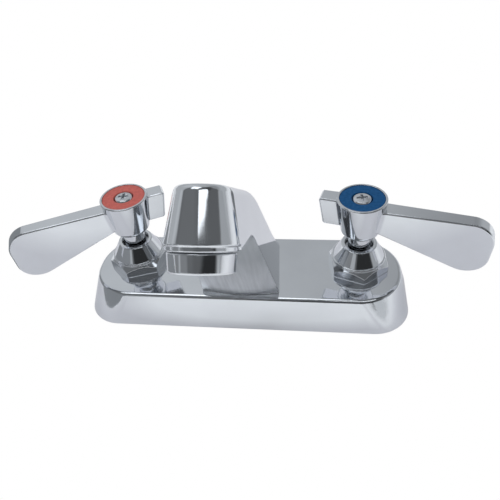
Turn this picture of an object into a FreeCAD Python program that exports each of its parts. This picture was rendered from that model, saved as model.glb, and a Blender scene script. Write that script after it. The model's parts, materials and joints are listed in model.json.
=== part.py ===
import FreeCAD, Part
import math
import os

# Two-handle centreset basin tap: one cast body with a fixed spout, two quarter-turn
# ceramic valves with lever handles, and threaded inlet shanks under the sink deck.
# Millimetres. +Z is up, -Y faces the user, +X is the cold side.
# The origin lies midway between the two inlet shanks, in the plane of the sink deck.

# Layout
valve_spacing = 101.6
base_centre_y = -3.2
hot_opening = 26.3
cold_opening = 13.3
running_clearance = 0.05
seat_clearance = 0.03
edge_break = 0.9

# Base of the cast body
base_length = 146.5
base_width = 50.4
base_corner_radius = 16.0
deck_length = 138.8
deck_width = 40.4
deck_corner_radius = 19.6
deck_height = 15.0
deck_edge_radius = 1.6
deck_thickness = 4.0
base_wall = 3.6
rim_height = 0.2
rim_edge_break = 0.3

# Deck gasket, let into the open underside of the base
gasket_thickness = 2.0
gasket_inset = 1.8
gasket_hole_clearance = 0.5

# Spout neck: an upright slab with a bowed front and underside and tapering flat sides
neck_front_y = -21.4
neck_front_lean = 22.2
neck_front_bow_radius = 69.0
neck_front_bow_angle = 70.0
neck_under_height = 64.8
neck_under_rise = 27.5
neck_under_radius = 13.0
neck_back_y = 11.3
neck_back_lean = 29.4
neck_flare_height = 27.0
neck_flare_lean = 42.0
neck_flare_radius = 90.0
neck_crown_slope = 37.0
neck_crown_radius = 45.0
neck_half_width = 15.45
neck_side_taper_up = 0.135
neck_side_taper_back = 0.076
spout_shoulder_radius = 3.5
neck_root_depth = 1.0

# Outlet bell, turned about a tilted axis from the centre of its rim
bell_tilt = 38.9
bell_rim_y = -62.5
bell_rim_z = 75.8
bell_rim_radius = 11.3
bell_band_height = 1.5
bell_foot_radius = 11.8
bell_foot_rise = 0.5
bell_top_radius = 8.4
bell_length = 19.6
bell_edge_radius = 0.3
bell_crown_radius = 2.5
bell_bore_radius = 9.4
bell_bore_depth = 7.5
bell_throat_radius = 7.0
bell_throat_depth = 10.0

# Waterways cored through the casting
waterway_radius = 4.2
waterway_bend_y = -38.0
waterway_bend_z = 72.0
waterway_foot_y = -1.0
waterway_width = 9.6
waterway_height = 4.6
waterway_floor = 3.6
waterway_rounding = 2.2
waterway_bar_width = 14.6
spout_foot_length = 29.2
casting_top_skin = 1.0

# Valve chambers in the base
boss_radius = 12.7
boss_depth = 14.0
seat_height = -4.0
seat_web = 2.0
seat_port_radius = 5.0
chamber_pilot_radius = 8.35
chamber_pilot_depth = 3.0
chamber_radius = 9.0
chamber_shoulder_height = 10.0

# Inlet shanks, with half inch parallel pipe thread
thread_major_radius = 10.45
thread_pitch_radius = 9.87
shank_bore_radius = 7.0
shank_length = 48.0
shank_chamfer = 1.2
sink_deck_allowance = 18.0
washer_radius = 17.0
washer_hole_radius = 10.8
washer_thickness = 1.6
locknut_across_flats = 30.0
locknut_height = 9.0
locknut_flange_radius = 17.5
locknut_flange_height = 2.0

# Cartridge
seat_seal_radius = 6.8
seat_seal_bore = 4.6
seat_seal_height = 1.8
fixed_disc_radius = 6.85
disc_thickness = 2.6
moving_disc_radius = 6.5
disc_port_inner_radius = 1.8
disc_port_outer_radius = 5.4
disc_port_angle = 76.0
disc_blade_angle = 90.0
disc_directions = (90, 270)
disc_core_radius = 2.6
cartridge_radius = 8.3
cartridge_bottom_gap = 0.5
cartridge_chamber_radius = 6.9
cartridge_chamber_top = 8.3
cartridge_window_height = 4.4
cartridge_window_width = 9.0
cartridge_window_drop = 0.3
cartridge_flange_radius = 9.55
cartridge_flange_height = 1.3
cartridge_neck_radius = 7.9
cartridge_top = 24.5
cartridge_top_wall = 3.5
stop_rib_angle = 44.0
stop_rib_directions = (-45, 135)
stop_rib_radius = 5.75
stop_rib_root = 0.2
body_ring_groove_depth = 0.75
body_ring_height = 9.0

# Stem
stem_barrel_radius = 5.5
stem_neck_radius = 4.9
stem_foot_height = 2.5
stem_lug_radius = 6.7
stem_lug_angle = 44.0
drive_bar_width = 2.4
drive_bar_length = 9.0
drive_bar_depth = 1.2
stem_ring_radius = 0.8
stem_ring_height = 14.0
clip_thickness = 0.8
clip_radius = 6.6
clip_gap = 0.1
clip_space = 0.4
clip_groove_depth = 0.6
clip_opening_angle = 60.0
spline_teeth = 20
spline_height = 11.0
spline_tooth_depth = 0.5
spline_crest_drop = 0.1
spline_crest_share = 0.24
spline_root_share = 0.6
stem_tapping_depth = 14.0

# Bonnet nut
bonnet_across_flats = 23.8
bonnet_hex_height = 5.0
bonnet_hex_turn = 40.0
bonnet_collar_radius = 11.75
bonnet_collar_height = 1.3
bonnet_collar_rounding = 0.4
bonnet_corner_chamfer = 2.2
bonnet_cone_radius = 11.1
bonnet_rim_rounding = 0.35
bonnet_rim_radius = 7.55
bonnet_height = 12.7
bonnet_opening_radius = 6.2
bonnet_lip = 1.6
bonnet_thread_radius = 10.9

# Handle
hub_bottom = 33.8
hub_foot_radius = 8.0
hub_foot_rounding = 2.2
hub_top = 51.2
hub_top_radius = 10.4
hub_rim_rounding = 0.3
arm_overlap = 0.02
hub_web = 2.4
lever_length = 52.7
lever_top = 47.8
lever_root_depth = 8.2
lever_root_thickness = 8.2
lever_tip_thickness = 5.9
lever_bottom_slope = 0.38
lever_tip_bottom = 26.4
lever_tip_draft = 1.6
lever_heel = 42.5
lever_tip_radius = 9.0
lever_toe_radius = 8.0
lever_heel_radius = 10.0
lever_blend_radius = 3.0
lever_edge_break = 0.5
tail_length = 17.4
tail_top = 50.4
tail_bottom = 37.8
tail_width = 7.5
tail_end_width = 7.0
tail_end_radius = 0.8
tail_end_draft = 1.9
tail_blend_radius = 1.2

# Index disc and handle screw
index_disc_radius = 9.3
index_disc_thickness = 1.0
index_disc_edge_radius = 0.25
index_recess_depth = 1.2
screw_head_radius = 4.1
screw_head_height = 2.5
screw_head_stand = 1.5
screw_head_flat_radius = 1.8
screw_head_wall = 1.9
screw_head_edge_radius = 0.8
screw_head_crown_radius = 2.5
screw_head_clearance = 0.2
screw_shank_radius = 1.9
screw_tip_radius = 0.5
screw_length = 13.0
screw_recess_width = 1.1
screw_recess_length = 4.6
screw_recess_depth = 1.4
screw_recess_turn = 20.0
screw_hole_radius = 2.3

# Aerator, on the same tilted axis as the bell
aerator_collar_top_radius = 10.75
aerator_collar_bottom_radius = 10.3
aerator_collar_length = 6.5
aerator_collar_gap = 0.3
aerator_collar_top_rounding = 0.3
aerator_collar_bottom_rounding = 0.5
aerator_thread_length = 5.5
aerator_bore_radius = 8.4
aerator_lip_radius = 7.6
aerator_lip_height = 1.0
aerator_insert_height = 4.4
aerator_screen_thickness = 0.6
aerator_mixer_height = 5.8
aerator_mixer_wall = 1.2
aerator_washer_bore = 6.6
honeycomb_pitch = 3.0
honeycomb_hole_radius = 1.4
honeycomb_rings = 2
mixer_hole_radius = 0.9
mixer_hole_count = 8
mixer_hole_circle = 5.2

# Values that follow from the sizes above
up = FreeCAD.Vector(0, 0, 1)
far = 400.0
tolerance = 0.001
valve_x = valve_spacing / 2
fixed_disc_bottom = seat_height + seat_seal_height
fixed_disc_top = fixed_disc_bottom + disc_thickness
moving_disc_bottom = fixed_disc_top + running_clearance
moving_disc_top = moving_disc_bottom + disc_thickness
stem_foot_top = moving_disc_top + stem_foot_height
flange_top = chamber_shoulder_height + cartridge_flange_height
bonnet_top = deck_height + bonnet_height
stem_shoulder = cartridge_top - cartridge_top_wall
hub_web_top = hub_top - index_recess_depth - screw_head_height + screw_head_stand
stem_top = hub_web_top - hub_web
spline_bottom = stem_top - spline_height
washer_top = -sink_deck_allowance
locknut_top = washer_top - washer_thickness
shank_top = seat_height - seat_web
shank_bottom = shank_top - shank_length
body_ring_groove = cartridge_radius - body_ring_groove_depth
body_ring_radius = (chamber_radius - body_ring_groove) / 2 - seat_clearance
body_ring_circle = (chamber_radius + body_ring_groove) / 2
stem_ring_groove = stem_barrel_radius - 2 * stem_ring_radius
insert_bottom = aerator_lip_height - aerator_collar_length
screen_bottom = insert_bottom + aerator_insert_height
mixer_bottom = screen_bottom + aerator_screen_thickness
aerator_inner_radius = aerator_bore_radius - running_clearance


def vec(x, y, z):
    return FreeCAD.Vector(x, y, z)


def flat(x, y):
    """A point of a plan outline."""
    return vec(x, y, 0)


def upright(x, z):
    """A point of an outline that stands in the XZ plane."""
    return vec(x, 0, z)


def sideways(y, z):
    """A point of an outline that stands in the YZ plane."""
    return vec(0, y, z)


def outline(corners, place):
    """Closed wire through the corners (a, b, radius), rounded, or cut flat up to edge_break."""
    points = [place(a, b) for a, b, radius in corners]
    count = len(points)
    starts = []
    ends = []
    middles = []
    for i in range(count):
        here = points[i]
        back = (points[i - 1] - here).normalize()
        ahead = (points[(i + 1) % count] - here).normalize()
        radius = corners[i][2]
        half = back.getAngle(ahead) / 2
        run = radius / math.tan(half) if radius else 0
        starts.append(here + back * run)
        ends.append(here + ahead * run)
        inward = (back + ahead).normalize() if radius else back
        middles.append(here + inward * (radius / math.sin(half) - radius) if radius else here)
    edges = []
    for i in range(count):
        if corners[i][2] > edge_break:
            edges.append(Part.Arc(starts[i], middles[i], ends[i]).toShape())
        elif corners[i][2]:
            edges.append(Part.LineSegment(starts[i], ends[i]).toShape())
        following = starts[(i + 1) % count]
        if (following - ends[i]).Length > tolerance:
            edges.append(Part.LineSegment(ends[i], following).toShape())
    return Part.Wire(edges)


def turned(corners):
    """Solid turned about Z from the corners (radius, height, rounding)."""
    face = Part.Face(outline(corners, upright))
    return face.revolve(vec(0, 0, 0), up, 360)


def cylinder(radius, bottom, top):
    return Part.makeCylinder(radius, top - bottom, vec(0, 0, bottom))


def tube(outer, inner, bottom, top):
    return cylinder(outer, bottom, top).cut(cylinder(inner, bottom, top))


def block(x_size, y_size, bottom, top):
    """Upright block centred on the Z axis."""
    return Part.makeBox(x_size, y_size, top - bottom, vec(-x_size / 2, -y_size / 2, bottom))


def prism(sides, across_flats, bottom, top, turn=0.0):
    """Upright regular prism, with its first corner turned from +X."""
    radius = across_flats / 2 / math.cos(math.pi / sides)
    angles = [math.radians(turn) + 2 * math.pi * i / sides for i in range(sides)]
    points = [vec(radius * math.cos(a), radius * math.sin(a), bottom) for a in angles]
    return Part.Face(Part.makePolygon(points + points[:1])).extrude(vec(0, 0, top - bottom))


def sector(inner, outer, bottom, top, centre, span):
    """Part of a ring, centred on an angle and spanning another."""
    piece = Part.makeCylinder(outer, top - bottom, vec(0, 0, bottom), up, span)
    piece.rotate(vec(0, 0, 0), up, centre - span / 2)
    if inner:
        piece = piece.cut(cylinder(inner, bottom, top))
    return piece


def rounded_rectangle(length, width, radius, height):
    a = length / 2
    b = width / 2
    corners = [(a, b, radius), (-a, b, radius), (-a, -b, radius), (a, -b, radius)]
    wire = outline(corners, flat)
    wire.translate(vec(0, base_centre_y, height))
    return wire


def base_section(inset, height):
    """Outline of the tapering base at a height, drawn in by an inset."""
    share = (height - rim_height) / (deck_height - rim_height)
    length = base_length + (deck_length - base_length) * share - 2 * inset
    width = base_width + (deck_width - base_width) * share - 2 * inset
    radius = base_corner_radius + (deck_corner_radius - base_corner_radius) * share
    return rounded_rectangle(length, width, radius - inset, height)


def base_block(inset, bottom, top):
    """The tapering block of the base, drawn in by an inset, between two heights."""
    return Part.makeLoft([base_section(inset, bottom), base_section(inset, top)], True, True)


def edges_at(shape, height):
    """The edges that lie wholly at one height."""
    return [
        e
        for e in shape.Edges
        if abs(e.BoundBox.ZMin - height) < tolerance and abs(e.BoundBox.ZMax - height) < tolerance
    ]


def bell_frame(shape):
    """Move a shape made about Z onto the tilted axis of the bell, z = 0 on its rim."""
    placed = shape.copy()
    placed.rotate(vec(0, 0, 0), vec(1, 0, 0), -bell_tilt)
    placed.translate(vec(0, bell_rim_y, bell_rim_z))
    return placed


def bell_point(along):
    """(y, z) of a point on the axis of the bell, measured up from the rim."""
    tilt = math.radians(bell_tilt)
    return bell_rim_y + along * math.sin(tilt), bell_rim_z + along * math.cos(tilt)


def leaning(y, z, lean, height):
    """y at a height on a line that leans forward through (y, z)."""
    return y - math.tan(math.radians(lean)) * (height - z)


def spout_neck():
    """Neck from its side profile: flared back and crown, bowed front, tapering flat sides."""
    root = deck_height - neck_root_depth
    flare_y = leaning(neck_back_y, deck_height, neck_back_lean, neck_flare_height)
    back_root = leaning(flare_y, neck_flare_height, neck_flare_lean, root)
    rim_y, rim_z = bell_point(bell_band_height)
    top_y, top_z = bell_point(bell_length)
    slope_crown = math.tan(math.radians(neck_crown_slope))
    slope_back = math.tan(math.radians(neck_back_lean))
    # where the line of the back meets the line that falls from the top of the bell
    fall = top_z + slope_crown * top_y
    reach = flare_y + slope_back * neck_flare_height
    crown_z = (fall - slope_crown * reach) / (1 - slope_crown * slope_back)
    crown_y = reach - slope_back * crown_z
    profile = [
        (rim_y, root, 0),
        (rim_y, rim_z, 0),
        (top_y, top_z, 0),
        (crown_y, crown_z, neck_crown_radius),
        (flare_y, neck_flare_height, neck_flare_radius),
        (back_root, root, 0),
    ]
    wire = outline(profile, sideways)
    wire.translate(vec(-far / 2, 0, 0))
    neck = Part.Face(wire).extrude(vec(far, 0, 0)).common(neck_front(rim_y))
    for side in (1, -1):
        normal = vec(side, neck_side_taper_back, neck_side_taper_up)
        neck = neck.cut(half_space(vec(side * neck_half_width, 0, deck_height), normal))
    shoulders = [e for e in neck.Edges if is_shoulder(e, root, top_y)]
    return neck.makeFillet(spout_shoulder_radius, shoulders)


def neck_front(rim_y):
    """All that lies behind the bowed front and the arch below the bell, up to the bow's axis."""
    lean = math.radians(neck_front_lean)
    along = vec(0, -math.sin(lean), math.cos(lean))
    inward = vec(0, math.cos(lean), math.sin(lean))
    front = vec(0, neck_front_y, deck_height)
    axis = front + inward * neck_front_bow_radius
    arch_y = leaning(neck_front_y, deck_height, neck_front_lean, neck_under_height)
    end_y = rim_y - bell_rim_radius
    end_z = neck_under_height + math.tan(math.radians(neck_under_rise)) * (arch_y - end_y)
    top = vec(0, end_y, end_z) + along * 2 * bell_length
    axis_top = axis + along * (top - axis).dot(along)
    foot = front - along * 2 * bell_length
    axis_foot = axis - along * 2 * bell_length
    profile = [
        (foot.y, foot.z, 0),
        (arch_y, neck_under_height, neck_under_radius),
        (end_y, end_z, 0),
        (top.y, top.z, 0),
        (axis_top.y, axis_top.z, 0),
        (axis_foot.y, axis_foot.z, 0),
    ]
    face = Part.Face(outline(profile, sideways))
    face.rotate(axis, along, -neck_front_bow_angle / 2)
    return face.revolve(axis, along, neck_front_bow_angle)


def is_shoulder(edge, root, top_y):
    """True for the side edges along the back and crown of the neck."""
    middle = edge.valueAt((edge.FirstParameter + edge.LastParameter) / 2)
    front_y = leaning(neck_front_y, deck_height, neck_front_lean, middle.z)
    half_width = neck_half_width - neck_side_taper_back * middle.y
    half_width -= neck_side_taper_up * (middle.z - deck_height)
    on_side = abs(abs(middle.x) - half_width) < tolerance
    behind = middle.y > front_y + neck_half_width / 2 and middle.y > top_y
    return on_side and behind and middle.z > root + tolerance


def half_space(point, normal):
    """A large block that lies outside a plane."""
    plate = Part.makeBox(far, far, far, vec(-far / 2, -far / 2, 0))
    plate.Placement = FreeCAD.Placement(point, FreeCAD.Rotation(up, normal))
    return plate


def spout_bell():
    corners = [
        (0, 0, 0),
        (bell_rim_radius, 0, bell_edge_radius),
        (bell_rim_radius, bell_band_height, 0),
        (bell_foot_radius, bell_band_height + bell_foot_rise, bell_edge_radius),
        (bell_top_radius, bell_length, bell_crown_radius),
        (0, bell_length, 0),
    ]
    return bell_frame(turned(corners))


def waterway_bar(width, bottom, top, rounding):
    """A level bar between the two valves, passing under the spout."""
    section = [
        (-width / 2, bottom, rounding),
        (width / 2, bottom, rounding),
        (width / 2, top, rounding),
        (-width / 2, top, rounding),
    ]
    wire = outline(section, sideways)
    wire.translate(vec(-valve_x, 0, 0))
    return Part.Face(wire).extrude(vec(valve_spacing, 0, 0))


def spout_waterway():
    """Passage up the neck, round its bend and out at the throat of the bell."""
    foot = vec(0, waterway_foot_y, waterway_floor + waterway_height / 2)
    bend = vec(0, waterway_bend_y, waterway_bend_z)
    mouth_y, mouth_z = bell_point(bell_throat_depth)
    mouth = vec(0, mouth_y, mouth_z)
    rise = Part.makeCylinder(waterway_radius, (bend - foot).Length, foot, bend - foot)
    run = Part.makeCylinder(waterway_radius, (mouth - bend).Length, bend, mouth - bend)
    ball = Part.makeSphere(waterway_radius, bend)
    return rise.fuse([run, ball])


def valve_chamber():
    """What is bored from the base for one valve and its shank, about Z."""
    pilot_top = seat_height + chamber_pilot_depth
    bores = [
        cylinder(bonnet_thread_radius + seat_clearance, flange_top, deck_height + 1),
        cylinder(cartridge_flange_radius + running_clearance, chamber_shoulder_height, flange_top),
        cylinder(chamber_radius, pilot_top, chamber_shoulder_height),
        cylinder(chamber_pilot_radius, seat_height, pilot_top),
        cylinder(seat_port_radius, shank_top, seat_height),
        cylinder(thread_pitch_radius + seat_clearance, -boss_depth, shank_top),
    ]
    return bores[0].fuse(bores[1:])


def body_casting():
    """Base, spout and valve bosses cast in one piece, open underneath."""
    rim_top = rim_height + rim_edge_break
    rim_sections = [base_section(rim_edge_break, rim_height), base_section(0, rim_top)]
    base = base_block(0, rim_top, deck_height)
    base = base.makeFillet(deck_edge_radius, edges_at(base, deck_height))
    base = base.fuse(Part.makeLoft(rim_sections, True, True))
    base = base.cut(base_block(gasket_inset - seat_clearance, rim_height, gasket_thickness))
    base = base.cut(base_block(base_wall, gasket_thickness, deck_height - deck_thickness))
    inner_top = deck_height - casting_top_skin
    bar = waterway_bar(waterway_bar_width, gasket_thickness, inner_top, 0)
    foot = block(spout_foot_length, waterway_bar_width, gasket_thickness, inner_top)
    bosses = []
    chambers = []
    for side in (1, -1):
        boss = cylinder(boss_radius, -boss_depth, inner_top)
        boss.translate(vec(side * valve_x, 0, 0))
        bosses.append(boss)
        chamber = valve_chamber()
        chamber.translate(vec(side * valve_x, 0, 0))
        chambers.append(chamber)
    casting = base.fuse([bar, foot, spout_neck(), spout_bell()] + bosses)
    passage_top = waterway_floor + waterway_height
    passage = waterway_bar(waterway_width, waterway_floor, passage_top, waterway_rounding)
    bores = [passage, spout_waterway()] + chambers
    bores.append(bell_frame(cylinder(bell_bore_radius, -1, bell_bore_depth)))
    bores.append(bell_frame(cylinder(bell_throat_radius, bell_bore_depth, bell_throat_depth)))
    return casting.cut(bores).removeSplitter()


def deck_gasket():
    """Rubber plate under the whole base, standing just proud of its rim."""
    plate = base_block(gasket_inset, 0, gasket_thickness)
    for side in (1, -1):
        hole = cylinder(boss_radius + gasket_hole_clearance, 0, gasket_thickness)
        hole.translate(vec(side * valve_x, 0, 0))
        plate = plate.cut(hole)
    return plate


def inlet_shank():
    """Threaded tube; where a thread is engaged it is drawn at its pitch radius."""
    corners = [
        (shank_bore_radius, shank_top, 0),
        (thread_pitch_radius, shank_top, 0),
        (thread_pitch_radius, -boss_depth, 0),
        (thread_major_radius, -boss_depth, 0),
        (thread_major_radius, washer_top, 0),
        (thread_pitch_radius, washer_top, 0),
        (thread_pitch_radius, locknut_top - locknut_height, 0),
        (thread_major_radius, locknut_top - locknut_height, 0),
        (thread_major_radius, shank_bottom + shank_chamfer, 0),
        (thread_major_radius - shank_chamfer, shank_bottom, 0),
        (shank_bore_radius, shank_bottom, 0),
    ]
    return turned(corners)


def mounting_washer():
    return tube(washer_radius, washer_hole_radius, locknut_top, washer_top)


def locknut():
    flange_bottom = locknut_top - locknut_flange_height
    bottom = locknut_top - locknut_height
    nut = prism(6, locknut_across_flats, bottom, locknut_top)
    nut = nut.fuse(cylinder(locknut_flange_radius, flange_bottom, locknut_top))
    nut = nut.cut(cylinder(thread_pitch_radius + seat_clearance, bottom, locknut_top))
    return nut.removeSplitter()


def seat_seal():
    return tube(seat_seal_radius, seat_seal_bore, seat_height, fixed_disc_bottom)


def fixed_disc():
    """Ceramic disc with two ports, which stays in the cartridge."""
    disc = cylinder(fixed_disc_radius, fixed_disc_bottom, fixed_disc_top)
    for centre in disc_directions:
        port = sector(
            disc_port_inner_radius,
            disc_port_outer_radius,
            fixed_disc_bottom,
            fixed_disc_top,
            centre,
            disc_port_angle,
        )
        disc = disc.cut(port)
    return disc


def drive_bar(clearance, bottom, top):
    return block(drive_bar_length + 2 * clearance, drive_bar_width + 2 * clearance, bottom, top)


def moving_disc():
    """Ceramic disc with two blades, which the stem turns over the ports."""
    disc = cylinder(disc_core_radius, moving_disc_bottom, moving_disc_top)
    for centre in disc_directions:
        blade = sector(
            0, moving_disc_radius, moving_disc_bottom, moving_disc_top, centre, disc_blade_angle
        )
        disc = disc.fuse(blade)
    slot = drive_bar(running_clearance, moving_disc_top - drive_bar_depth, moving_disc_top)
    slot.rotate(vec(0, 0, 0), up, 90)
    return disc.cut(slot).removeSplitter()


def cartridge_body():
    """Brass sleeve that holds the discs, with side windows, stop ribs and a stem bore."""
    bottom = seat_height + cartridge_bottom_gap
    half_groove = body_ring_radius + running_clearance
    bore = stem_barrel_radius + running_clearance
    corners = [
        (cartridge_chamber_radius, bottom, 0),
        (cartridge_radius, bottom, 0),
        (cartridge_radius, body_ring_height - half_groove, 0),
        (body_ring_groove, body_ring_height - half_groove, 0),
        (body_ring_groove, body_ring_height + half_groove, 0),
        (cartridge_radius, body_ring_height + half_groove, 0),
        (cartridge_radius, chamber_shoulder_height, 0),
        (cartridge_flange_radius, chamber_shoulder_height, 0),
        (cartridge_flange_radius, flange_top, 0),
        (cartridge_neck_radius, flange_top, 0),
        (cartridge_neck_radius, cartridge_top, 0),
        (stem_neck_radius + running_clearance, cartridge_top, 0),
        (stem_neck_radius + running_clearance, stem_shoulder, 0),
        (bore, stem_shoulder, 0),
        (bore, cartridge_chamber_top, 0),
        (cartridge_chamber_radius, cartridge_chamber_top, 0),
    ]
    body = turned(corners)
    window_bottom = cartridge_chamber_top - cartridge_window_height
    window_top = cartridge_chamber_top - cartridge_window_drop
    window = block(4 * cartridge_radius, cartridge_window_width, window_bottom, window_top)
    body = body.cut(window)
    for centre in stop_rib_directions:
        rib = sector(
            stop_rib_radius,
            cartridge_chamber_radius + stop_rib_root,
            moving_disc_top + running_clearance,
            stem_foot_top,
            centre,
            stop_rib_angle,
        )
        body = body.fuse(rib)
    return body.removeSplitter()


def o_ring(circle, radius, height):
    """Rubber ring, drawn with a six-sided section."""
    angles = [math.pi * i / 3 for i in range(6)]
    return turned([(circle + radius * math.cos(a), height + radius * math.sin(a), 0) for a in angles])


def cartridge_o_ring():
    return o_ring(body_ring_circle, body_ring_radius, body_ring_height)


def stem():
    """Stem with its drive foot, ring groove, clip groove and splined top."""
    half_groove = stem_ring_radius + seat_clearance
    clip_bottom = cartridge_top + clip_gap
    clip_top = clip_bottom + clip_thickness
    corners = [
        (0, stem_foot_top, 0),
        (stem_barrel_radius, stem_foot_top, 0),
        (stem_barrel_radius, stem_ring_height - half_groove, 0),
        (stem_ring_groove, stem_ring_height - half_groove, 0),
        (stem_ring_groove, stem_ring_height + half_groove, 0),
        (stem_barrel_radius, stem_ring_height + half_groove, 0),
        (stem_barrel_radius, stem_shoulder - running_clearance, 0),
        (stem_neck_radius, stem_shoulder - running_clearance, 0),
        (stem_neck_radius, clip_bottom, 0),
        (stem_neck_radius - clip_groove_depth, clip_bottom, 0),
        (stem_neck_radius - clip_groove_depth, clip_top, 0),
        (stem_neck_radius, clip_top, 0),
        (stem_neck_radius, spline_bottom, 0),
        (0, spline_bottom, 0),
    ]
    piece = turned(corners)
    for centre in disc_directions:
        lug = sector(0, stem_lug_radius, moving_disc_top, stem_foot_top, centre, stem_lug_angle)
        piece = piece.fuse(lug)
    bar = drive_bar(0, moving_disc_top - drive_bar_depth + running_clearance, moving_disc_top)
    bar.rotate(vec(0, 0, 0), up, 90)
    core = cylinder(disc_core_radius, moving_disc_top, stem_foot_top)
    piece = piece.fuse([core, bar, spline(0, spline_bottom, stem_top)])
    tapping_bottom = hub_web_top - stem_tapping_depth
    tapped = cylinder(screw_shank_radius + seat_clearance, tapping_bottom, stem_top)
    return piece.cut(tapped).removeSplitter()


def spline(clearance, bottom, top):
    """Toothed shaft of the stem, or with a clearance the socket that fits it."""
    crest = stem_neck_radius - spline_crest_drop + clearance
    valley = crest - spline_tooth_depth
    step = 2 * math.pi / spline_teeth
    flank = [(-spline_root_share / 2, valley), (-spline_crest_share / 2, crest)]
    tooth = flank + [(-share, radius) for share, radius in reversed(flank)]
    points = []
    for i in range(spline_teeth):
        for share, radius in tooth:
            angle = (i + share) * step
            points.append(vec(radius * math.cos(angle), radius * math.sin(angle), bottom))
    return Part.Face(Part.makePolygon(points + points[:1])).extrude(vec(0, 0, top - bottom))


def stem_o_ring():
    radius = stem_ring_radius - seat_clearance
    return o_ring(stem_barrel_radius - radius, radius, stem_ring_height)


def retaining_clip():
    """Open spring ring in the groove above the cartridge."""
    bottom = cartridge_top + clip_gap
    top = bottom + clip_thickness
    inner = stem_neck_radius - clip_groove_depth + seat_clearance
    ring = tube(clip_radius, inner, bottom + seat_clearance, top - seat_clearance)
    return ring.cut(sector(0, far, bottom, top, 0, clip_opening_angle))


def bonnet_nut():
    """Hexagon, collar and cone that close the valve; its corners lie where it came tight."""
    hex_top = deck_height + bonnet_hex_height
    collar_top = hex_top + bonnet_collar_height
    corner = bonnet_across_flats / 2 / math.cos(math.pi / 6)
    hexagon = prism(6, bonnet_across_flats, deck_height, hex_top, bonnet_hex_turn)
    chamfer = turned(
        [
            (0, deck_height, 0),
            (corner, deck_height, 0),
            (corner, hex_top - bonnet_corner_chamfer, 0),
            (bonnet_collar_radius - bonnet_collar_rounding, hex_top, 0),
            (0, hex_top, 0),
        ]
    )
    top = turned(
        [
            (0, flange_top, 0),
            (bonnet_thread_radius, flange_top, 0),
            (bonnet_thread_radius, hex_top, 0),
            (bonnet_collar_radius, hex_top, bonnet_collar_rounding),
            (bonnet_collar_radius, collar_top, bonnet_collar_rounding),
            (bonnet_cone_radius, collar_top, 0),
            (bonnet_rim_radius, bonnet_top, bonnet_rim_rounding),
            (0, bonnet_top, 0),
        ]
    )
    nut = hexagon.common(chamfer).fuse(top)
    nut = nut.cut(cylinder(cartridge_neck_radius + seat_clearance, flange_top, cartridge_top))
    bore_top = bonnet_top - bonnet_lip
    nut = nut.cut(cylinder(clip_radius + clip_space, cartridge_top, bore_top))
    nut = nut.cut(cylinder(bonnet_opening_radius, bore_top, bonnet_top))
    return nut.removeSplitter()


def hub_radius(height):
    """Radius of the hub's tapering wall at a height."""
    slope = (hub_top_radius - hub_foot_radius) / (hub_top - hub_bottom)
    return hub_foot_radius + slope * (height - hub_bottom)


def handle():
    """Hub, lever and tail die-cast in one piece."""
    hub = turned(
        [
            (0, hub_bottom, 0),
            (hub_foot_radius, hub_bottom, hub_foot_rounding),
            (hub_top_radius, hub_top, hub_rim_rounding),
            (0, hub_top, 0),
        ]
    )
    body = hub.fuse([lever(), tail()])
    socket_bottom = spline_bottom + running_clearance
    bores = [
        cylinder(stem_neck_radius + running_clearance, hub_bottom, socket_bottom),
        spline(running_clearance, socket_bottom, stem_top + seat_clearance),
        cylinder(screw_hole_radius, stem_top, hub_web_top),
        cylinder(screw_head_radius + screw_head_clearance, hub_web_top, hub_top),
        cylinder(index_disc_radius + running_clearance, hub_top - index_recess_depth, hub_top),
    ]
    return body.cut(bores).removeSplitter()


def arm_plan(height, root, tip, length, blend):
    """Plan of an arm along +X at a height: tapering sides that run into the hub by tangent arcs."""
    radius = hub_radius(height) - arm_overlap
    slope = (root - tip) / length
    scale = math.hypot(1, slope)
    ahead = blend * slope / scale
    beside = root + blend / scale
    half = ahead - slope * beside
    rest = ahead**2 + beside**2 - (radius + blend) ** 2
    x = (math.sqrt(half**2 - scale**2 * rest) - half) / scale**2
    centre = vec(x + ahead, beside - slope * x, 0)
    on_side = vec(x, root - slope * x, 0)
    on_hub = centre * (radius / (radius + blend))
    to_side = (on_side - centre).normalize()
    to_hub = (on_hub - centre).normalize()
    middle = centre + (to_side + to_hub).normalize() * blend
    end = vec(length, tip, 0)
    opposite = [vec(p.x, -p.y, 0) for p in (on_hub, middle, on_side, end)]
    edges = [
        Part.LineSegment(on_hub, opposite[0]).toShape(),
        Part.Arc(opposite[0], opposite[1], opposite[2]).toShape(),
        Part.LineSegment(opposite[2], opposite[3]).toShape(),
        Part.LineSegment(opposite[3], end).toShape(),
        Part.LineSegment(end, on_side).toShape(),
        Part.Arc(on_side, middle, on_hub).toShape(),
    ]
    wire = Part.Wire(edges)
    wire.translate(vec(0, 0, height))
    return wire


def arm(profile, root_width, tip_width, length, blend):
    """An arm cut from its plan by its side profile, with its long edges broken."""
    sizes = (root_width / 2, tip_width / 2, length, blend)
    lowest = min(height for along, height, radius in profile)
    plans = [arm_plan(height, *sizes) for height in (lowest, hub_top)]
    solid = Part.makeLoft(plans, True, True)
    wire = outline(profile, upright)
    wire.translate(vec(0, -hub_top_radius, 0))
    side = Part.Face(wire).extrude(vec(0, 2 * hub_top_radius, 0))
    solid = solid.common(side).removeSplitter()
    edges = [e for e in solid.Edges if is_long_edge(e)]
    return solid.makeChamfer(lever_edge_break, edges)


def is_long_edge(edge):
    """True for an arm's edges outside the hub that run along one of its sides."""
    box = edge.BoundBox
    blend_end = box.XMax < hub_top_radius and box.ZLength > lever_blend_radius
    outside = box.XMax > hub_top_radius - 2 * lever_edge_break
    return outside and box.YLength < lever_blend_radius and not blend_end


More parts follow.
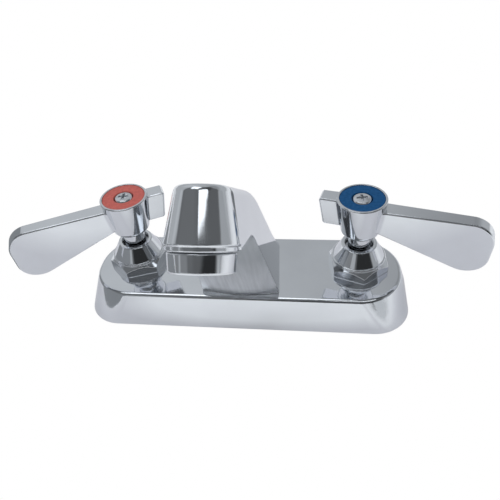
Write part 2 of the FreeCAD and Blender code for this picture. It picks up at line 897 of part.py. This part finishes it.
def lever():
    """Flat blade that hangs from its level top, deepest near its tip."""
    root_bottom = lever_top - lever_root_depth
    heel_bottom = root_bottom - lever_bottom_slope * lever_heel
    profile = [
        (0, lever_top, 0),
        (lever_length, lever_top, lever_tip_radius),
        (lever_length - lever_tip_draft, lever_tip_bottom, lever_toe_radius),
        (lever_heel, heel_bottom, lever_heel_radius),
        (0, root_bottom, 0),
    ]
    length = lever_length + 1
    return arm(profile, lever_root_thickness, lever_tip_thickness, length, lever_blend_radius)


def tail():
    """Short stub that balances the lever on the other side of the hub."""
    profile = [
        (0, tail_bottom, 0),
        (tail_length - tail_end_draft, tail_bottom, tail_end_radius),
        (tail_length, tail_top, tail_end_radius),
        (0, tail_top, 0),
    ]
    piece = arm(profile, tail_width, tail_end_width, tail_length + 1, tail_blend_radius)
    piece.rotate(vec(0, 0, 0), up, 180)
    return piece


def index_disc():
    bottom = hub_top - index_recess_depth
    hole = screw_head_radius + screw_head_clearance
    return turned(
        [
            (hole, bottom, 0),
            (index_disc_radius, bottom, 0),
            (index_disc_radius, bottom + index_disc_thickness, index_disc_edge_radius),
            (hole, bottom + index_disc_thickness, index_disc_edge_radius),
        ]
    )


def handle_screw():
    """Pan head screw with a cross recess."""
    top = hub_web_top + screw_head_height
    head = turned(
        [
            (0, hub_web_top - screw_length, 0),
            (screw_shank_radius, hub_web_top - screw_length, screw_tip_radius),
            (screw_shank_radius, hub_web_top, 0),
            (screw_head_radius, hub_web_top, 0),
            (screw_head_radius, hub_web_top + screw_head_wall, screw_head_edge_radius),
            (screw_head_flat_radius, top, screw_head_crown_radius),
            (0, top, 0),
        ]
    )
    slot = block(screw_recess_length, screw_recess_width, top - screw_recess_depth, top)
    crossing = slot.copy()
    crossing.rotate(vec(0, 0, 0), up, 90)
    recess = slot.fuse(crossing)
    recess.rotate(vec(0, 0, 0), up, screw_recess_turn)
    return head.cut(recess).removeSplitter()


def aerator_housing():
    """Collar below the bell's rim, threaded into the bell, with a lip that holds the insert."""
    threaded = bell_bore_radius - seat_clearance
    corners = [
        (aerator_lip_radius, -aerator_collar_length, 0),
        (aerator_collar_bottom_radius, -aerator_collar_length, aerator_collar_bottom_rounding),
        (aerator_collar_top_radius, -aerator_collar_gap, aerator_collar_top_rounding),
        (threaded, -aerator_collar_gap, 0),
        (threaded, aerator_thread_length, 0),
        (aerator_bore_radius, aerator_thread_length, 0),
        (aerator_bore_radius, insert_bottom, 0),
        (aerator_lip_radius, insert_bottom, 0),
    ]
    return turned(corners)


def honeycomb():
    """Hexagonal holes on a triangular grid, as far out as the number of rings."""
    holes = []
    for i in range(-honeycomb_rings, honeycomb_rings + 1):
        for j in range(-honeycomb_rings, honeycomb_rings + 1):
            if abs(i + j) > honeycomb_rings:
                continue
            x = honeycomb_pitch * (i + j / 2)
            y = honeycomb_pitch * j * math.sqrt(3) / 2
            hole = prism(6, honeycomb_hole_radius * math.sqrt(3), -far / 4, far / 4, 30)
            hole.translate(vec(x, y, 0))
            holes.append(hole)
    return holes


def aerator_insert():
    piece = cylinder(aerator_inner_radius, insert_bottom, screen_bottom)
    return piece.cut(honeycomb())


def aerator_screen():
    return cylinder(aerator_inner_radius, screen_bottom, mixer_bottom)


def aerator_mixer():
    """Cup with jet holes that meters the flow above the screen."""
    top = mixer_bottom + aerator_mixer_height
    plate_bottom = top - aerator_mixer_wall
    cup = cylinder(aerator_inner_radius, mixer_bottom, top)
    cup = cup.cut(cylinder(aerator_inner_radius - aerator_mixer_wall, mixer_bottom, plate_bottom))
    for i in range(mixer_hole_count):
        angle = 2 * math.pi * i / mixer_hole_count
        jet = prism(6, 2 * mixer_hole_radius, plate_bottom, top)
        jet.translate(vec(mixer_hole_circle * math.cos(angle), mixer_hole_circle * math.sin(angle), 0))
        cup = cup.cut(jet)
    return cup


def aerator_washer():
    outer = bell_bore_radius - running_clearance
    return tube(outer, aerator_washer_bore, aerator_thread_length, bell_bore_depth)


def cold_side(shape, turn=0.0):
    """Place a shape made about Z on the cold valve, opened clockwise by a turn."""
    placed = shape.copy()
    placed.rotate(vec(0, 0, 0), up, -turn)
    placed.translate(vec(valve_x, 0, 0))
    return placed


def hot_side(shape, turn=0.0):
    """The hot valve is the mirror image of the cold one."""
    placed = shape.copy()
    placed.rotate(vec(0, 0, 0), up, -turn)
    placed = placed.mirror(vec(0, 0, 0), vec(1, 0, 0))
    placed.translate(vec(-valve_x, 0, 0))
    return placed


def pair(shape):
    """Two alike pieces, one at each valve, as separate solids in one node."""
    return Part.makeCompound([hot_side(shape), cold_side(shape)])


def save(name, shape):
    for solid in shape.Solids:
        if not solid.isValid():
            print("not valid:", name)
    shape.exportStep(os.path.join("parts", name + ".step"))
    print(name, len(shape.Solids), round(shape.Volume, 1))


def build():
    os.makedirs("parts", exist_ok=True)
    save("body_casting", body_casting())
    save("deck_gasket", deck_gasket())
    save("mounting_washers", pair(mounting_washer()))
    save("locknuts", pair(locknut()))
    fixed = {
        "inlet_shank": inlet_shank(),
        "bonnet_nut": bonnet_nut(),
        "cartridge_body": cartridge_body(),
        "cartridge_o_ring": cartridge_o_ring(),
        "seat_seal": seat_seal(),
        "fixed_disc": fixed_disc(),
    }
    turning = {
        "stem": stem(),
        "stem_o_ring": stem_o_ring(),
        "moving_disc": moving_disc(),
        "retaining_clip": retaining_clip(),
        "handle": handle(),
        "index_disc": index_disc(),
        "handle_screw": handle_screw(),
    }
    for name, shape in fixed.items():
        save("hot_" + name, hot_side(shape))
        save("cold_" + name, cold_side(shape))
    for name, shape in turning.items():
        save("hot_" + name, hot_side(shape, hot_opening))
        save("cold_" + name, cold_side(shape, cold_opening))
    save("aerator_housing", bell_frame(aerator_housing()))
    save("aerator_insert", bell_frame(aerator_insert()))
    save("aerator_screen", bell_frame(aerator_screen()))
    save("aerator_mixer", bell_frame(aerator_mixer()))
    save("aerator_washer", bell_frame(aerator_washer()))


build()
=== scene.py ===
import json
import math

import bpy
from mathutils import Matrix, Vector


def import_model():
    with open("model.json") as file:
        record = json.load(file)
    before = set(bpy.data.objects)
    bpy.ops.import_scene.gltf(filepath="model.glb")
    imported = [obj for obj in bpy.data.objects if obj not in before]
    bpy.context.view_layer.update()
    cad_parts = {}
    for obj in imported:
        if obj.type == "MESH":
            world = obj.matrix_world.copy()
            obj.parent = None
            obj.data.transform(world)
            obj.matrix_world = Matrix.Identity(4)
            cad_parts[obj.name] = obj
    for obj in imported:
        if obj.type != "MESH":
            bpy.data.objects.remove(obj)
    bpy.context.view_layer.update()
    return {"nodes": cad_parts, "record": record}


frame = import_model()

scene = bpy.context.scene

# Camera: place in metres, angles in degrees, lens and sensor in millimetres
CAMERA_PLACE = (0.03678, -0.176163, 0.176101)
CAMERA_YAW = 11.045
CAMERA_PITCH = 40.661
CAMERA_ROLL = -6.125
CAMERA_LENS = 37.419
SENSOR_WIDTH = 36.0
CAMERA_CLIP = (0.01, 50)

# Metals, as reflectance. The brushed front of the neck has a darker and a lighter streak, with
# painted shade high up and painted light low down.
CHROME = (0.79, 0.81, 0.84)
STEEL = (0.62, 0.63, 0.65)
BRASS = (0.71, 0.52, 0.25)
SATIN_SHADED_HIGH = ((0.34, 0.36, 0.38), (0.50, 0.52, 0.55))
SATIN_LIT_LOW = ((0.64, 0.66, 0.69), (0.93, 0.95, 0.98))
HAZE_DARKENS = 0.95

# Plastics and rubber, and how much lighter the mottle gets in a plastic
RED = (0.50, 0.11, 0.09)
BLUE = (0.003, 0.065, 0.185)
CERAMIC = (0.8, 0.79, 0.76)
WHITE_PLASTIC = (0.78, 0.78, 0.76)
RUBBER = ((0.015, 0.015, 0.016), (0.035, 0.035, 0.036))
MOTTLE_SCALES = 1.25
MOTTLE_ADDS = 0.01
GLOSS = 0.25
BLUE_GLOSS = 0.12

# Roughness from the smoothest to the dullest place
BRIGHT = (0.05, 0.09)
SCREW = (0.12, 0.2)
TURNED = (0.2, 0.35)
BRUSHED = (0.42, 0.5)
MOULDED = (0.3, 0.42)
MATT = (0.55, 0.75)

# Noises: scale, detail and how far each is drawn out along an axis. The spans are the parts of a
# noise's range that are spread over a change of colour or roughness.
HAZE = {"scale": 60, "detail": 4}
WAVES = {"scale": 55, "detail": 1}
HAIRLINES = {"scale": 900, "detail": 3, "stretch": (0.08, 1, 1)}
BRUSH_GRAIN = {"scale": 1100, "detail": 3, "stretch": (1, 0.12, 0.12)}
BRUSH_STREAKS = {"scale": 700, "detail": 3, "stretch": (1, 0.1, 0.1)}
MOTTLE = {"scale": 900, "detail": 3}
PLASTIC_GRAIN = {"scale": 1500, "detail": 2}
RUBBER_GRAIN = {"scale": 1200, "detail": 3}
NOISE_SPAN = (0.3, 0.7)
DULL_SPAN = (0.35, 0.75)
MOTTLE_SPAN = (0.35, 0.7)

# Bumps: depth in metres, and strength
WAVE_BUMP = (0.00002, 1.0)
HAIRLINE_BUMP = (0.000002, 0.6)
BRUSH_BUMP = (0.00003, 0.5)
PLASTIC_BUMP = (0.00001, 1.0)

# Edges look rounded by this radius. The front of the neck is brushed where its normal's Z falls
# through the lean and its height is above the deck, and gets painted shade between two heights.
EDGE_ROUNDING = 0.0005
EDGE_SAMPLES = 6
BRUSHED_ABOVE = 0.0155
BRUSHED_EDGE = 0.0002
BRUSHED_LEAN = (-0.2, -0.3)
# Painted shade on the neck's front: its light colour below the first height, its dark one above
# the second
PAINTED_SHADE_HEIGHTS = (0.020, 0.046)

# Floor: reflectance with painted shade near the tap, and far off, and the distances between
# which it changes, round the tap and round a painted pool of light in front of it
FLOOR_SIZE = 6
FLOOR_PAINTED_SHADE_NEAR = (0.65, 0.65, 0.68)
FLOOR_FAR_AND_POOL = (0.90, 0.91, 0.92)
FLOOR_SHADE_SWEEP = (0.11, 0.25)
FLOOR_LIGHT_POOL_CENTRE = (0.005, -0.12, 0)
FLOOR_LIGHT_POOL = (0.072, 0.095)
# Painted light: the floor glows in its own tone, by this strength
FLOOR_PAINTED_GLOW = 0.25
FLOOR_ROUGHNESS = 0.6

# Grey flag at the hot side, and the softbox overhead, in metres and watts
FLAG_GREY = (0.25, 0.265, 0.28)
FLAG_PLACE = (-0.125, -0.07, 0.035)
FLAG_SIZE = (0.07, 0.18, 1)
SOFTBOX_PLACE = (0, -0.05, 0.9)
SOFTBOX_SIZE = (1.4, 0.7)
SOFTBOX_POWER = 4.5

# Studio seen in the plating: brightness without cards, tint, and the cards. A later card covers
# an earlier one. Each has its azimuth (0 behind the tap, 90 at its cold side), elevation, half
# width, half height, brightness, softness of the edge and tilt, with all angles in degrees.
WHITE = (1, 1, 1)
STUDIO_LEVEL = 0.47
STUDIO_TINT = (0.95, 0.99, 1.03)
CARDS = (
    (-35, 40, 16, 14, 0.58, 8, 0),  # behind, hot side
    (45, 40, 25, 12, 0.30, 8, 0),  # behind, cold side
    (170, 25, 81, 81, 0.13, 3, 0),  # the dark room in front
    (-130, 45, 28, 22, 0.17, 9, 0),  # front, hot side, high
    (76, 62, 20, 9, 0.07, 5, 0),  # cold side, overhead
    (-120, 8, 24, 16, 0.25, 4, 0),  # front, hot side, low
    (-88, 21, 3.5, 8, 0.55, 2.5, 0),  # narrow strip at the hot side
    (-118, 8, 3, 12, 0.45, 1.5, 0),  # narrow strip, front of the hot side
    (94, 9, 24, 16, 0.40, 2.5, 0),  # cold side, low
    (155, 15, 32, 11, 0.03, 2, 0),  # black flag in front
    (128, 0, 16, 4, 0.6, 2, 0),  # light line under the black flag
    (-155, 10, 9, 8, 0.45, 2, 0),  # front, hot side, small
    (-70, 76, 14, 14, 1.6, 2, 0),  # lamp overhead
    (144.4, 63.7, 15.8, 6, 1.6, 0.8, -8.4),  # the bright strip down the bell
    (160, 57.5, 11, 2.4, 0.13, 0.5, -9),  # cuts the strip's lower end to a point
)


class Tree:
    """A node tree, with short calls for the nodes used here."""

    def __init__(self, owner):
        owner.use_nodes = True
        self.tree = owner.node_tree

    def node(self, kind, **settings):
        node = self.tree.nodes.new(kind)
        for key, value in settings.items():
            setattr(node, key, value)
        return node

    def link(self, output, target):
        self.tree.links.new(output, target)

    def maths(self, operation, *values):
        """Result of one operation on numbers and outputs."""
        node = self.node("ShaderNodeMath", operation=operation)
        for value, target in zip(values, node.inputs):
            if isinstance(value, (int, float)):
                target.default_value = value
            else:
                self.link(value, target)
        return node.outputs["Value"]

    def ramp(self, value, low, high, start=0.0, end=1.0, shape="LINEAR"):
        """Map a value from one range to another, held at its ends."""
        node = self.node("ShaderNodeMapRange", interpolation_type=shape)
        self.link(value, node.inputs["Value"])
        node.inputs["From Min"].default_value = low
        node.inputs["From Max"].default_value = high
        node.inputs["To Min"].default_value = start
        node.inputs["To Max"].default_value = end
        return node.outputs["Result"]

    def mix(self, share, first, second, kind="FLOAT"):
        """Value, vector or colour between two others by a share."""
        node = self.node("ShaderNodeMix", data_type=kind)
        sockets = [s for s in node.inputs if s.enabled]
        for output, socket in zip((share, first, second), sockets):
            self.link(output, socket)
        return next(s for s in node.outputs if s.enabled)

    def glow(self, colour):
        """Plain light of a colour."""
        node = self.node("ShaderNodeEmission")
        node.inputs["Color"].default_value = (*colour, 1)
        return node.outputs["Emission"]

    def seen_by_camera(self):
        """1 for what the camera sees itself, 0 for light and reflections."""
        return self.node("ShaderNodeLightPath").outputs["Is Camera Ray"]

    def show(self, surface):
        """Make this the surface that the material shows."""
        self.link(surface, self.tree.nodes["Material Output"].inputs["Surface"])


class Finish(Tree):
    """A new material with a principled shader, textured over the row's frame."""

    def __init__(self, name):
        self.material = bpy.data.materials.new(name)
        super().__init__(self.material)
        self.shader = self.tree.nodes["Principled BSDF"]
        self.place = self.node("ShaderNodeTexCoord").outputs["Object"]

    def set(self, name, value):
        self.shader.inputs[name].default_value = value

    def feed(self, name, output):
        self.link(output, self.shader.inputs[name])

    def noise(self, scale, detail, stretch=(1, 1, 1)):
        """Noise over the row's frame, drawn out along an axis by a stretch under 1."""
        mapping = self.node("ShaderNodeMapping")
        mapping.inputs["Scale"].default_value = stretch
        self.link(self.place, mapping.inputs["Vector"])
        noise = self.node("ShaderNodeTexNoise")
        noise.inputs["Scale"].default_value = scale
        noise.inputs["Detail"].default_value = detail
        self.link(mapping.outputs["Vector"], noise.inputs["Vector"])
        return noise.outputs["Fac"]

    def blend(self, share, first, second):
        """Colour between two fixed colours by a share."""
        node = self.node("ShaderNodeMix", data_type="RGBA")
        self.link(share, node.inputs["Factor"])
        node.inputs["A"].default_value = (*first, 1)
        node.inputs["B"].default_value = (*second, 1)
        return node.outputs["Result"]

    def upward(self, vector):
        """The Z of a vector: height in metres for a place, or how far a normal faces up."""
        split = self.node("ShaderNodeSeparateXYZ")
        self.link(vector, split.inputs["Vector"])
        return split.outputs["Z"]

    def distance_from(self, point):
        node = self.node("ShaderNodeVectorMath", operation="DISTANCE")
        self.link(self.place, node.inputs[0])
        node.inputs[1].default_value = point
        return node.outputs["Value"]

    def leaning_above(self, height):
        """1 where the surface leans over forward and lies above a height, else 0."""
        normal = self.node("ShaderNodeNewGeometry").outputs["Normal"]
        leaning = self.ramp(self.upward(normal), *BRUSHED_LEAN)
        above = self.ramp(self.upward(self.place), height, height + BRUSHED_EDGE)
        return self.maths("MULTIPLY", leaning, above)

    def bump(self, height, distance, strength, under=None):
        """Normal bumped by a height, over another normal where one is given."""
        node = self.node("ShaderNodeBump")
        node.inputs["Distance"].default_value = distance
        node.inputs["Strength"].default_value = strength
        self.link(height, node.inputs["Height"])
        if under is not None:
            self.link(under, node.inputs["Normal"])
        return node.outputs["Normal"]


class Sky(Tree):
    """The studio round the tap, built up from flat cards at a great distance."""

    def __init__(self, level):
        self.world = bpy.data.worlds.new("studio")
        super().__init__(self.world)
        self.direction = self.node("ShaderNodeTexCoord").outputs["Generated"]
        self.level = self.node("ShaderNodeValue").outputs["Value"]
        self.level.default_value = level

    def along(self, axis):
        """How far the direction points along an axis."""
        node = self.node("ShaderNodeVectorMath", operation="DOT_PRODUCT")
        self.link(self.direction, node.inputs[0])
        node.inputs[1].default_value = axis
        return node.outputs["Value"]

    def within(self, offset, half, edge):
        """1 inside a half size in degrees, 0 outside it, with a soft edge between."""
        inside = math.tan(math.radians(half - edge))
        outside = math.tan(math.radians(half + edge))
        return self.ramp(self.maths("ABSOLUTE", offset), inside, outside, 1, 0, "SMOOTHSTEP")

    def card(self, azimuth, elevation, half_width, half_height, level, edge, tilt):
        """Lay a card over the studio so far, as CARDS describes."""
        turn = math.radians(azimuth)
        rise = math.radians(elevation)
        right = Vector((math.cos(turn), -math.sin(turn), 0))
        centre = Vector(
            (math.sin(turn) * math.cos(rise), math.cos(turn) * math.cos(rise), math.sin(rise))
        )
        above = right.cross(centre)
        slant = Matrix.Rotation(math.radians(tilt), 3, centre)
        depth = self.along(centre)
        across = self.maths("DIVIDE", self.along(slant @ right), depth)
        height = self.maths("DIVIDE", self.along(slant @ above), depth)
        wide = self.within(across, half_width, edge)
        high = self.within(height, half_height, edge)
        in_front = self.maths("GREATER_THAN", depth, 0)
        mask = self.maths("MULTIPLY", self.maths("MULTIPLY", wide, high), in_front)
        mix = self.node("ShaderNodeMix")
        self.link(mask, mix.inputs["Factor"])
        self.link(self.level, mix.inputs["A"])
        mix.inputs["B"].default_value = level
        self.level = mix.outputs["Result"]

    def finish(self):
        """White to the camera, and the cards with a cool tint to everything else."""
        tint = self.node("ShaderNodeMix", data_type="RGBA", blend_type="MULTIPLY")
        tint.inputs["Factor"].default_value = 1
        self.link(self.level, tint.inputs["A"])
        tint.inputs["B"].default_value = (*STUDIO_TINT, 1)
        choose = self.node("ShaderNodeMix", data_type="RGBA")
        self.link(self.seen_by_camera(), choose.inputs["Factor"])
        self.link(tint.outputs["Result"], choose.inputs["A"])
        choose.inputs["B"].default_value = (*WHITE, 1)
        self.link(choose.outputs["Result"], self.tree.nodes["Background"].inputs["Color"])
        scene.world = self.world


def metal(name, colour=CHROME, roughness=BRIGHT, brushed_front_with_painted_shade=False):
    """Bright plating or turned metal: faint haze, hairline marks and a slight waviness."""
    n = Finish(name)
    n.set("Metallic", 1.0)
    haze = n.noise(**HAZE)
    darker = tuple(c * HAZE_DARKENS for c in colour)
    tone = n.blend(n.ramp(haze, *NOISE_SPAN), darker, colour)
    shine = n.ramp(haze, *DULL_SPAN, *roughness)
    edge = n.node("ShaderNodeBevel", samples=EDGE_SAMPLES)
    edge.inputs["Radius"].default_value = EDGE_ROUNDING
    waves = n.bump(n.noise(**WAVES), *WAVE_BUMP, edge.outputs["Normal"])
    normal = n.bump(n.noise(**HAIRLINES), *HAIRLINE_BUMP, waves)
    if brushed_front_with_painted_shade:
        share = n.leaning_above(BRUSHED_ABOVE)
        shine = n.mix(share, shine, n.ramp(haze, *NOISE_SPAN, *BRUSHED))
        grain = n.bump(n.noise(**BRUSH_GRAIN), *BRUSH_BUMP, waves)
        normal = n.mix(share, normal, grain, "VECTOR")
        streak = n.noise(**BRUSH_STREAKS)
        # Painted shade and light: the neck's front is darker high up and lighter low down
        painted_shade_share = n.ramp(n.upward(n.place), *PAINTED_SHADE_HEIGHTS)
        satin_and_painted_shade = n.mix(painted_shade_share, n.blend(streak, *SATIN_LIT_LOW), n.blend(streak, *SATIN_SHADED_HIGH), "RGBA")
        tone = n.mix(share, tone, satin_and_painted_shade, "RGBA")
    n.feed("Base Color", tone)
    n.feed("Roughness", shine)
    n.feed("Normal", normal)
    return n.material


def plastic(name, colour, gloss=GLOSS):
    """Moulded plastic or lapped ceramic with a faint mottle."""
    n = Finish(name)
    mottle = n.noise(**MOTTLE)
    lighter = tuple(min(1, c * MOTTLE_SCALES + MOTTLE_ADDS) for c in colour)
    n.feed("Base Color", n.blend(n.ramp(mottle, *MOTTLE_SPAN), colour, lighter))
    n.feed("Roughness", n.ramp(mottle, *NOISE_SPAN, *MOULDED))
    n.feed("Normal", n.bump(n.noise(**PLASTIC_GRAIN), *PLASTIC_BUMP))
    n.set("Specular IOR Level", gloss)
    return n.material


def rubber(name):
    """Matt black rubber."""
    n = Finish(name)
    grain = n.noise(**RUBBER_GRAIN)
    n.feed("Base Color", n.blend(grain, *RUBBER))
    n.feed("Roughness", n.ramp(grain, *NOISE_SPAN, *MATT))
    return n.material


def dress():
    """Give each CAD node the material of its slot."""
    materials = {
        "chrome_body": metal("chrome_body", brushed_front_with_painted_shade=True),
        "chrome_handle": metal("chrome_handle"),
        "chrome_trim": metal("chrome_trim"),
        "chrome_aerator": metal("chrome_aerator"),
        "chrome_screw": metal("chrome_screw", roughness=SCREW),
        "red_disc": plastic("red_disc", RED),
        "blue_disc": plastic("blue_disc", BLUE, BLUE_GLOSS),
        "brass": metal("brass", BRASS, TURNED),
        "ceramic": plastic("ceramic", CERAMIC),
        "black_rubber": rubber("black_rubber"),
        "plain_steel": metal("plain_steel", STEEL, TURNED),
        "steel_mesh": metal("steel_mesh", STEEL, TURNED),
        "white_plastic": plastic("white_plastic", WHITE_PLASTIC),
    }
    for part in frame["record"]["subparts"]:
        obj = frame["nodes"][part["node"]]
        obj.data.materials.clear()
        obj.data.materials.append(materials[part["material_slot"]])


def camera():
    """The photograph's view of the tap."""
    yaw = math.radians(CAMERA_YAW)
    pitch = math.radians(CAMERA_PITCH)
    roll = math.radians(CAMERA_ROLL)
    right = Vector((math.cos(yaw), math.sin(yaw), 0))
    forward = Vector(
        (-math.sin(yaw) * math.cos(pitch), math.cos(yaw) * math.cos(pitch), -math.sin(pitch))
    )
    above = right.cross(forward)
    right_rolled = right * math.cos(roll) + above * math.sin(roll)
    above_rolled = above * math.cos(roll) - right * math.sin(roll)
    data = bpy.data.cameras.new("camera")
    data.lens = CAMERA_LENS
    data.sensor_width = SENSOR_WIDTH
    data.clip_start, data.clip_end = CAMERA_CLIP
    obj = bpy.data.objects.new("camera", data)
    scene.collection.objects.link(obj)
    turn = Matrix((right_rolled, above_rolled, -forward)).transposed()
    obj.matrix_world = Matrix.Translation(CAMERA_PLACE) @ turn.to_4x4()
    scene.camera = obj


def flat_square(name, size, place, material):
    bpy.ops.mesh.primitive_plane_add(size=size, location=place)
    obj = bpy.context.object
    obj.name = name
    obj.data.materials.append(material)
    return obj


def floor():
    """Plain pale floor: white to the camera; grey in reflections, with painted shade near the
    tap, a painted pool of light in front of it and a painted glow.
    """
    n = Finish("floor")
    # Painted shade: the floor is darker near the tap
    shade_share = n.ramp(n.distance_from((0, 0, 0)), *FLOOR_SHADE_SWEEP)
    # Painted pool of light on the floor in front of the tap
    light_pool_share = n.ramp(n.distance_from(FLOOR_LIGHT_POOL_CENTRE), *FLOOR_LIGHT_POOL, 1, 0)
    tone = n.blend(n.maths("MAXIMUM", shade_share, light_pool_share), FLOOR_PAINTED_SHADE_NEAR, FLOOR_FAR_AND_POOL)
    n.feed("Base Color", tone)
    # Painted light: the floor glows in its painted tone of shade and pool
    n.feed("Emission Color", tone)
    n.set("Emission Strength", FLOOR_PAINTED_GLOW)
    n.set("Roughness", FLOOR_ROUGHNESS)
    mix = n.node("ShaderNodeMixShader")
    n.link(n.seen_by_camera(), mix.inputs["Fac"])
    n.link(n.shader.outputs["BSDF"], mix.inputs[1])
    n.link(n.glow(WHITE), mix.inputs[2])
    n.show(mix.outputs["Shader"])
    plane = flat_square("floor", FLOOR_SIZE, (0, 0, 0), n.material)


def flag():
    """A grey flag standing on the floor at the hot side, seen only in the plating."""
    material = bpy.data.materials.new("flag")
    tree = Tree(material)
    tree.show(tree.glow(FLAG_GREY))
    card = flat_square("flag", 1, FLAG_PLACE, material)
    card.rotation_euler = (0, math.radians(90), 0)
    card.scale = FLAG_SIZE
    card.visible_camera = False
    card.visible_diffuse = False
    card.visible_shadow = False


def world():
    """The studio that the plating mirrors: light behind, dark in front, lamps overhead."""
    sky = Sky(STUDIO_LEVEL)
    for card in CARDS:
        sky.card(*card)
    sky.finish()


def softbox():
    """One large soft lamp overhead, which the plating doesn't mirror."""
    data = bpy.data.lights.new("overhead", "AREA")
    data.shape = "RECTANGLE"
    data.size, data.size_y = SOFTBOX_SIZE
    data.energy = SOFTBOX_POWER
    obj = bpy.data.objects.new("overhead", data)
    scene.collection.objects.link(obj)
    obj.location = SOFTBOX_PLACE
    obj.rotation_euler = (-Vector(SOFTBOX_PLACE)).to_track_quat("-Z", "Y").to_euler()
    obj.visible_glossy = False


camera()
dress()
floor()
world()
flag()
softbox()
scene.view_settings.view_transform = "Standard"
